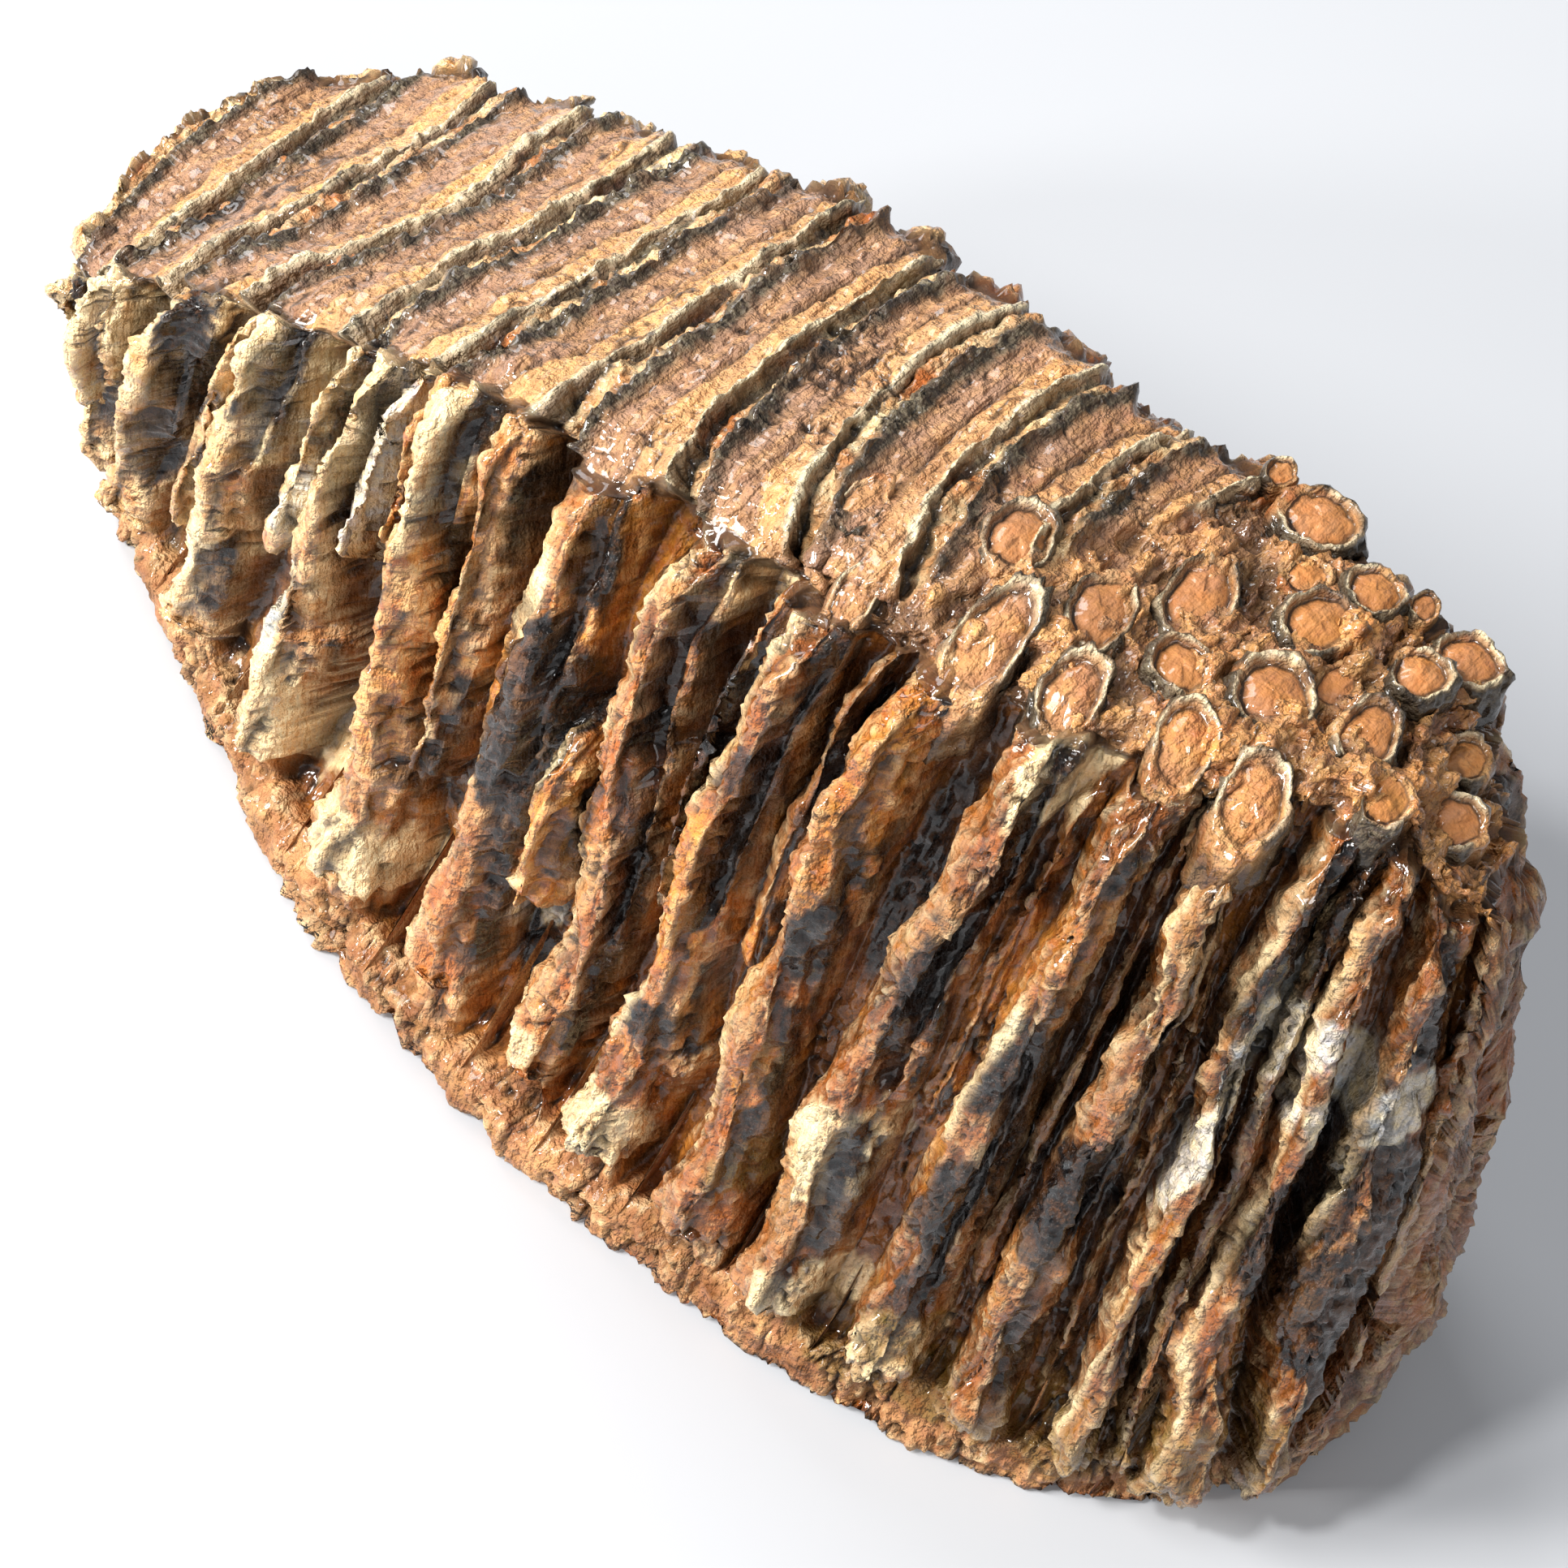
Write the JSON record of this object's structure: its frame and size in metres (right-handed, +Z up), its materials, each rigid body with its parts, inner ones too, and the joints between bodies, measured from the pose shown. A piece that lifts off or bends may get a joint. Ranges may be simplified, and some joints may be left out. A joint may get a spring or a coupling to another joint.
{
  "type": "woolly mammoth tooth",
  "caption": "Fossil mammoth molar, a wedge of upright enamel and dentine plates set in cement, worn to a ridged slope at one end, resting on its broken base.",
  "frame": {"origin": "centre of the flat broken base, on the surface that the tooth rests on", "axes": "+X runs from the low, worn front end to the tall back end, -Y is the bulging side, +Z is up towards the chewing face"},
  "size_m": [0.1748, 0.0719, 0.0929],
  "materials": {
    "fossil_tooth": "brown, black and cream fossil enamel, dentine and cement, with a wet-looking varnish gloss"
  },
  "bodies": {
    "root": {"mammoth_tooth": "fossil_tooth"}
  },
  "joints": []
}
